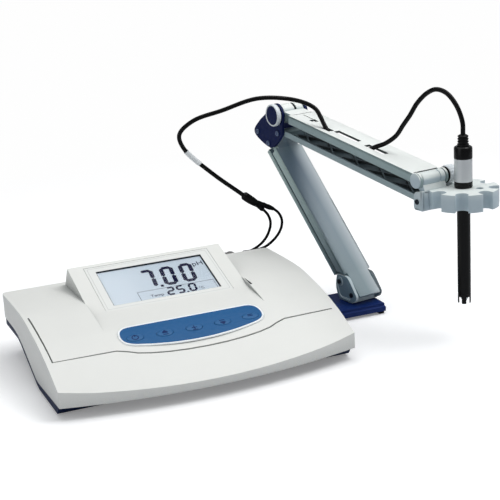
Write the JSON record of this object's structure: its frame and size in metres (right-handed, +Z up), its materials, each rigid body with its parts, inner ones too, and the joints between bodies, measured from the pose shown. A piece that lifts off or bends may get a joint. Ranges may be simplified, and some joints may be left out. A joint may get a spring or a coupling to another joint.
{
  "type": "ph meter",
  "caption": "Benchtop pH meter with a sloping display, an oval keypad and a jointed side arm that holds a glass electrode over a sample",
  "frame": {"origin": "on the bench, under the middle of the whole object's bounding box", "axes": "+X to the right along the front edge, +Y towards the sockets at the back, +Z up"},
  "size_m": [0.443, 0.3298, 0.2472],
  "materials": {
    "white_shell": "fine satin texture",
    "navy_shell": "satin",
    "zinc_screw": "zinc plated",
    "grey_leg": "satin",
    "foot_rubber": "matt",
    "window_frame": "smooth",
    "window_lens": "clear and smooth",
    "lcd_glass": "smooth, lit grey blue",
    "carrier_plastic": "moulded",
    "keypad_blue": "satin membrane",
    "key_blue": "satin",
    "board_green": "solder mask",
    "nickel": "nickel plated",
    "black_plastic": "moulded",
    "cable_black": "glossy flexible jacket",
    "blue_plate": "smooth enamel",
    "pin_steel": "dark plated",
    "arm_grey": "cool grey satin",
    "navy_plate": "satin",
    "arm_white": "white satin",
    "electrode_black": "glossy",
    "bulb_glass": "thin clear glass"
  },
  "bodies": {
    "meter": {"upper_housing": "white_shell", "lower_housing": "navy_shell", "housing_screw_1": "zinc_screw", "housing_screw_2": "zinc_screw", "housing_screw_3": "zinc_screw", "housing_screw_4": "zinc_screw", "rear_leg_left": "grey_leg", "rear_leg_right": "grey_leg", "front_foot_left": "foot_rubber", "front_foot_right": "foot_rubber", "display_window": "window_frame", "display_lens": "window_lens", "lcd_panel": "lcd_glass", "lcd_carrier": "carrier_plastic", "main_board": "board_green", "keypad_panel": "keypad_blue", "keypad_board": "board_green", "bnc_socket": "nickel", "probe_socket": "black_plastic", "power_jack": "black_plastic", "bnc_plug": "nickel", "probe_plug": "black_plastic", "electrode_lead": "cable_black", "probe_lead": "cable_black", "arm_base_plate": "blue_plate", "plate_foot": "foot_rubber", "swivel_post": "zinc_screw", "plate_screw_1": "zinc_screw", "plate_screw_2": "zinc_screw"},
    "button_1": {"key_1": "key_blue"},
    "button_2": {"key_2": "key_blue"},
    "button_3": {"key_3": "key_blue"},
    "button_4": {"key_4": "key_blue"},
    "button_5": {"key_5": "key_blue"},
    "swivel": {"base_bracket": "arm_grey", "base_pin_front": "pin_steel", "base_pin_rear": "pin_steel"},
    "lower_arm": {"lower_arm_channel": "arm_grey"},
    "lower_link": {"lower_arm_link": "arm_grey"},
    "elbow": {"elbow_plate_near": "navy_plate", "elbow_plate_far": "navy_plate", "elbow_pin_front": "pin_steel", "elbow_pin_rear": "pin_steel", "elbow_pin_low": "pin_steel", "elbow_bolt": "pin_steel"},
    "elbow_clamp": {"elbow_knob": "arm_white", "elbow_knob_cap": "navy_plate"},
    "upper_arm": {"upper_arm_channel": "arm_white", "loop_cable": "cable_black"},
    "upper_link": {"upper_arm_link": "arm_grey"},
    "head": {"head_bracket": "arm_grey", "head_bolt": "pin_steel", "head_pin": "pin_steel", "electrode_holder": "arm_grey"},
    "head_clamp": {"head_knob": "arm_white"},
    "electrode": {"electrode_shaft": "electrode_black", "electrode_bulb": "bulb_glass", "electrode_cap": "electrode_black", "strain_relief": "electrode_black", "upper_cable": "cable_black"}
  },
  "joints": [
    {"name": "button_1_press", "type": "slide", "parent": "meter", "child": "button_1", "axis": [0, 0.2974, -0.9548], "range_m": [0, 0.0006], "stiffness_N_per_m": 400},
    {"name": "button_2_press", "type": "slide", "parent": "meter", "child": "button_2", "axis": [0, 0.2974, -0.9548], "range_m": [0, 0.0006], "stiffness_N_per_m": 400},
    {"name": "button_3_press", "type": "slide", "parent": "meter", "child": "button_3", "axis": [0, 0.2974, -0.9548], "range_m": [0, 0.0006], "stiffness_N_per_m": 400},
    {"name": "button_4_press", "type": "slide", "parent": "meter", "child": "button_4", "axis": [0, 0.2974, -0.9548], "range_m": [0, 0.0006], "stiffness_N_per_m": 400},
    {"name": "button_5_press", "type": "slide", "parent": "meter", "child": "button_5", "axis": [0, 0.2974, -0.9548], "range_m": [0, 0.0006], "stiffness_N_per_m": 400},
    {"name": "base_swivel", "type": "hinge", "parent": "meter", "child": "swivel", "pos_m": [0.14033, 0.00441, 0.012], "axis": [0, 0, 1], "range_deg": [-20, 60]},
    {"name": "lower_arm_tilt", "type": "hinge", "parent": "swivel", "child": "lower_arm", "pos_m": [0.14233, -0.00691, 0.021], "axis": [0.9848, 0.1736, 0], "range_deg": [0, 45]},
    {"name": "lower_link_tilt", "type": "hinge", "parent": "swivel", "child": "lower_link", "pos_m": [0.13877, 0.01328, 0.0315], "axis": [0.9848, 0.1736, 0], "range_deg": [0, 45]},
    {"name": "elbow_level", "type": "hinge", "parent": "lower_arm", "child": "elbow", "pos_m": [0.11741, 0.13441, 0.163], "axis": [0.9848, 0.1736, 0], "range_deg": [-45, 0]},
    {"name": "upper_arm_tilt", "type": "hinge", "parent": "elbow", "child": "upper_arm", "pos_m": [0.12054, 0.11668, 0.197], "axis": [0.9848, 0.1736, 0], "range_deg": [-40, 4], "deforming": ["loop_cable"]},
    {"name": "upper_link_tilt", "type": "hinge", "parent": "elbow", "child": "upper_link", "pos_m": [0.12071, 0.1157, 0.1765], "axis": [0.9848, 0.1736, 0], "range_deg": [-40, 4]},
    {"name": "head_level", "type": "hinge", "parent": "upper_arm", "child": "head", "pos_m": [0.16117, -0.11376, 0.1625], "axis": [0.9848, 0.1736, 0], "range_deg": [-4, 40]},
    {"name": "elbow_knob_turn", "type": "hinge", "parent": "elbow", "child": "elbow_clamp", "pos_m": [0.09789, 0.11269, 0.197], "axis": [0.9848, 0.1736, 0], "range_deg": [-180, 180]},
    {"name": "head_knob_turn", "type": "hinge", "parent": "head", "child": "head_clamp", "pos_m": [0.18481, -0.1096, 0.1625], "axis": [0.9848, 0.1736, 0], "range_deg": [-180, 180]},
    {"name": "electrode_slide", "type": "slide", "parent": "head", "child": "electrode", "axis": [0, 0, 1], "range_m": [0, 0.06], "deforming": ["upper_cable"]}
  ],
  "couplings": [
    {"joint": "lower_link_tilt", "follows": "lower_arm_tilt", "ratio": 1},
    {"joint": "elbow_level", "follows": "lower_arm_tilt", "ratio": -1},
    {"joint": "upper_link_tilt", "follows": "upper_arm_tilt", "ratio": 1},
    {"joint": "head_level", "follows": "upper_arm_tilt", "ratio": -1}
  ]
}
